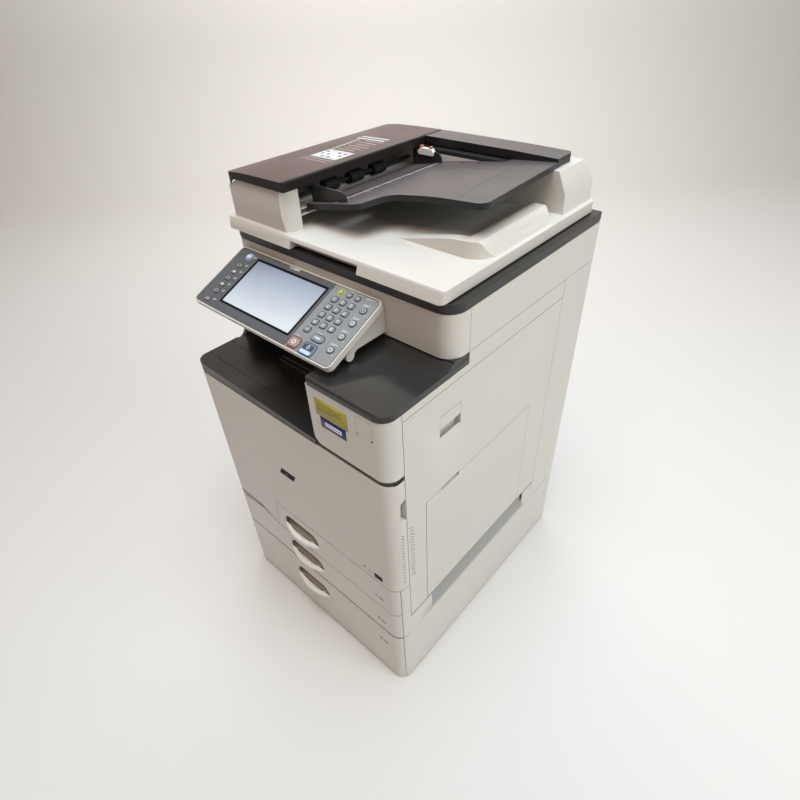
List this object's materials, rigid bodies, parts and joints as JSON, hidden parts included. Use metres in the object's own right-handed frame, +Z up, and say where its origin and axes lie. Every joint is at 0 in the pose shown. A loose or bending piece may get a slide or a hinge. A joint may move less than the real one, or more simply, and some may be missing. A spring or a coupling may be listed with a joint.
{
  "type": "photocopier",
  "caption": "Floor-standing copier with paper trays, front and right doors, bypass tray, tilting control panel, exit tray, scanner and a hinged document feeder.",
  "frame": {"origin": "on the floor under the middle of the bounding box", "axes": "+X to the right seen from the front, +Y to the rear, +Z up"},
  "size_m": [0.587, 0.703, 1.107],
  "materials": {
    "white_shell": "fine-textured off-white covers",
    "dark_shell": "fine-textured charcoal covers",
    "feed_cover_gloss": "smooth brown-black cover",
    "panel_grey": "satin grey face",
    "key_grey": "satin grey keys",
    "start_blue": "satin keys with a coloured rim",
    "screen": "touch screen glass over a pale display",
    "pane": "clear flat glass",
    "sheet_steel": "zinc-coated sheet steel",
    "black_part": "black moulded parts",
    "toner_case": "toner bottles",
    "drum_coat": "coated drums with steel shafts",
    "roller_rubber": "rubber-covered roller",
    "pad_white": "white foam-backed sheet",
    "foot_rubber": "rubber pads",
    "hinge_metal": "black painted steel"
  },
  "bodies": {
    "frame": {"bank_housing": "white_shell", "levelling_feet": "foot_rubber", "main_chassis": "sheet_steel", "left_cover": "white_shell", "rear_cover": "white_shell", "right_top_cover": "white_shell", "right_lower_cover": "white_shell", "column_front_cover": "white_shell", "column_top_cover": "dark_shell", "output_tray": "dark_shell", "scanner_case": "white_shell", "scanner_bezel": "dark_shell", "platen_glass": "pane", "power_inlet": "black_part", "lid_hinges": "hinge_metal", "panel_arm": "white_shell", "toner_bottles": "toner_case", "drum_units": "drum_coat"},
    "front_door": {"front_door": "white_shell"},
    "right_door": {"right_door": "white_shell"},
    "door_lever": {"right_door_lever": "white_shell"},
    "bypass_tray": {"bypass_tray": "white_shell"},
    "tray_1": {"tray_1_cassette": "white_shell", "tray_1_front": "white_shell"},
    "tray_2": {"tray_2_cassette": "white_shell", "tray_2_front": "white_shell"},
    "tray_3": {"tray_3_cassette": "white_shell", "tray_3_front": "white_shell"},
    "switch_flap": {"power_switch_cover": "white_shell"},
    "control_panel": {"panel_housing": "white_shell", "panel_bezel": "panel_grey", "touch_screen": "screen"},
    "feeder": {"adf_base": "white_shell", "platen_pad": "pad_white", "adf_front_housing": "white_shell", "adf_rear_housing": "white_shell"},
    "feed_cover": {"adf_feed_cover": "feed_cover_gloss"},
    "input_tray": {"adf_input_tray": "dark_shell"},
    "front_fence": {"front_fence": "dark_shell"},
    "rear_fence": {"rear_fence": "dark_shell"},
    "feed_roller": {"adf_feed_roller": "roller_rubber"},
    "fuser_roller": {"fuser_roller": "roller_rubber"},
    "scan_carriage": {"scan_carriage": "black_part"},
    "key_1": {"key_1": "key_grey"},
    "key_2": {"key_2": "key_grey"},
    "key_3": {"key_3": "key_grey"},
    "key_4": {"key_4": "key_grey"},
    "key_5": {"key_5": "key_grey"},
    "key_6": {"key_6": "key_grey"},
    "key_7": {"key_7": "key_grey"},
    "key_8": {"key_8": "key_grey"},
    "key_9": {"key_9": "key_grey"},
    "key_star": {"key_star": "key_grey"},
    "key_0": {"key_0": "key_grey"},
    "key_hash": {"key_hash": "key_grey"},
    "start_key": {"start_key": "start_blue"},
    "stop_key": {"stop_key": "start_blue"},
    "enter_key": {"enter_key": "key_grey"},
    "left_keys": {"left_keys": "key_grey"},
    "right_keys": {"right_keys": "key_grey"}
  },
  "joints": [
    {"name": "front_door_hinge", "type": "hinge", "parent": "frame", "child": "front_door", "pos_m": [-0.2895, -0.2935, 0.54], "axis": [0, 0, -1], "range_deg": [0, 90]},
    {"name": "right_door_hinge", "type": "hinge", "parent": "frame", "child": "right_door", "pos_m": [0.2885, -0.0355, 0.267], "axis": [0, 1, 0], "range_deg": [0, 50]},
    {"name": "door_lever_pivot", "type": "hinge", "parent": "right_door", "child": "door_lever", "pos_m": [0.2905, -0.1685, 0.7801], "axis": [0, -1, 0], "range_deg": [0, 25], "stiffness_Nm_per_rad": 0.05},
    {"name": "bypass_tray_hinge", "type": "hinge", "parent": "right_door", "child": "bypass_tray", "pos_m": [0.2885, -0.0505, 0.2705], "axis": [0, 1, 0], "range_deg": [0, 70]},
    {"name": "tray_1_slide", "type": "slide", "parent": "frame", "child": "tray_1", "axis": [0, -1, 0], "range_m": [0, 0.38]},
    {"name": "tray_2_slide", "type": "slide", "parent": "frame", "child": "tray_2", "axis": [0, -1, 0], "range_m": [0, 0.38]},
    {"name": "tray_3_slide", "type": "slide", "parent": "frame", "child": "tray_3", "axis": [0, -1, 0], "range_m": [0, 0.38]},
    {"name": "switch_flap_hinge", "type": "hinge", "parent": "frame", "child": "switch_flap", "pos_m": [0.2445, -0.33425, 0.8441], "axis": [-1, 0, 0], "range_deg": [0, 100]},
    {"name": "panel_tilt", "type": "hinge", "parent": "frame", "child": "control_panel", "pos_m": [-0.05, -0.257, 0.8815], "axis": [1, 0, 0], "range_deg": [0, 8]},
    {"name": "feeder_hinge", "type": "hinge", "parent": "frame", "child": "feeder", "pos_m": [0, 0.3425, 0.998], "axis": [-1, 0, 0], "range_deg": [0, 60]},
    {"name": "feed_cover_hinge", "type": "hinge", "parent": "feeder", "child": "feed_cover", "pos_m": [-0.272, 0.0645, 1.082], "axis": [0, -1, 0], "range_deg": [0, 70]},
    {"name": "input_tray_hinge", "type": "hinge", "parent": "feeder", "child": "input_tray", "pos_m": [-0.0845, 0.2645, 1.102], "axis": [0, -1, 0], "range_deg": [0, 25]},
    {"name": "front_fence_slide", "type": "slide", "parent": "input_tray", "child": "front_fence", "axis": [0, 1, 0], "range_m": [0, 0.08]},
    {"name": "rear_fence_slide", "type": "slide", "parent": "input_tray", "child": "rear_fence", "axis": [0, -1, 0], "range_m": [0, 0.08]},
    {"name": "feed_roller_spin", "type": "hinge", "parent": "feeder", "child": "feed_roller", "pos_m": [-0.1285, 0.0445, 1.062], "axis": [0, 1, 0], "continuous": true},
    {"name": "fuser_roller_spin", "type": "hinge", "parent": "frame", "child": "fuser_roller", "pos_m": [0.2235, 0.0145, 0.795], "axis": [0, 1, 0], "continuous": true},
    {"name": "scan_carriage_slide", "type": "slide", "parent": "frame", "child": "scan_carriage", "axis": [1, 0, 0], "range_m": [0, 0.42]},
    {"name": "key_1_press", "type": "slide", "parent": "control_panel", "child": "key_1", "axis": [0, 0.4067, -0.9135], "range_m": [0, 0.0012], "stiffness_N_per_m": 300},
    {"name": "key_2_press", "type": "slide", "parent": "control_panel", "child": "key_2", "axis": [0, 0.4067, -0.9135], "range_m": [0, 0.0012], "stiffness_N_per_m": 300},
    {"name": "key_3_press", "type": "slide", "parent": "control_panel", "child": "key_3", "axis": [0, 0.4067, -0.9135], "range_m": [0, 0.0012], "stiffness_N_per_m": 300},
    {"name": "key_4_press", "type": "slide", "parent": "control_panel", "child": "key_4", "axis": [0, 0.4067, -0.9135], "range_m": [0, 0.0012], "stiffness_N_per_m": 300},
    {"name": "key_5_press", "type": "slide", "parent": "control_panel", "child": "key_5", "axis": [0, 0.4067, -0.9135], "range_m": [0, 0.0012], "stiffness_N_per_m": 300},
    {"name": "key_6_press", "type": "slide", "parent": "control_panel", "child": "key_6", "axis": [0, 0.4067, -0.9135], "range_m": [0, 0.0012], "stiffness_N_per_m": 300},
    {"name": "key_7_press", "type": "slide", "parent": "control_panel", "child": "key_7", "axis": [0, 0.4067, -0.9135], "range_m": [0, 0.0012], "stiffness_N_per_m": 300},
    {"name": "key_8_press", "type": "slide", "parent": "control_panel", "child": "key_8", "axis": [0, 0.4067, -0.9135], "range_m": [0, 0.0012], "stiffness_N_per_m": 300},
    {"name": "key_9_press", "type": "slide", "parent": "control_panel", "child": "key_9", "axis": [0, 0.4067, -0.9135], "range_m": [0, 0.0012], "stiffness_N_per_m": 300},
    {"name": "key_star_press", "type": "slide", "parent": "control_panel", "child": "key_star", "axis": [0, 0.4067, -0.9135], "range_m": [0, 0.0012], "stiffness_N_per_m": 300},
    {"name": "key_0_press", "type": "slide", "parent": "control_panel", "child": "key_0", "axis": [0, 0.4067, -0.9135], "range_m": [0, 0.0012], "stiffness_N_per_m": 300},
    {"name": "key_hash_press", "type": "slide", "parent": "control_panel", "child": "key_hash", "axis": [0, 0.4067, -0.9135], "range_m": [0, 0.0012], "stiffness_N_per_m": 300},
    {"name": "start_key_press", "type": "slide", "parent": "control_panel", "child": "start_key", "axis": [0, 0.4067, -0.9135], "range_m": [0, 0.0012], "stiffness_N_per_m": 300},
    {"name": "stop_key_press", "type": "slide", "parent": "control_panel", "child": "stop_key", "axis": [0, 0.4067, -0.9135], "range_m": [0, 0.0012], "stiffness_N_per_m": 300},
    {"name": "enter_key_press", "type": "slide", "parent": "control_panel", "child": "enter_key", "axis": [0, 0.4067, -0.9135], "range_m": [0, 0.0012], "stiffness_N_per_m": 300},
    {"name": "left_keys_press", "type": "slide", "parent": "control_panel", "child": "left_keys", "axis": [0, 0.4067, -0.9135], "range_m": [0, 0.0012], "stiffness_N_per_m": 300},
    {"name": "right_keys_press", "type": "slide", "parent": "control_panel", "child": "right_keys", "axis": [0, 0.4067, -0.9135], "range_m": [0, 0.0012], "stiffness_N_per_m": 300}
  ],
  "couplings": [
    {"joint": "rear_fence_slide", "follows": "front_fence_slide", "ratio": 1}
  ]
}
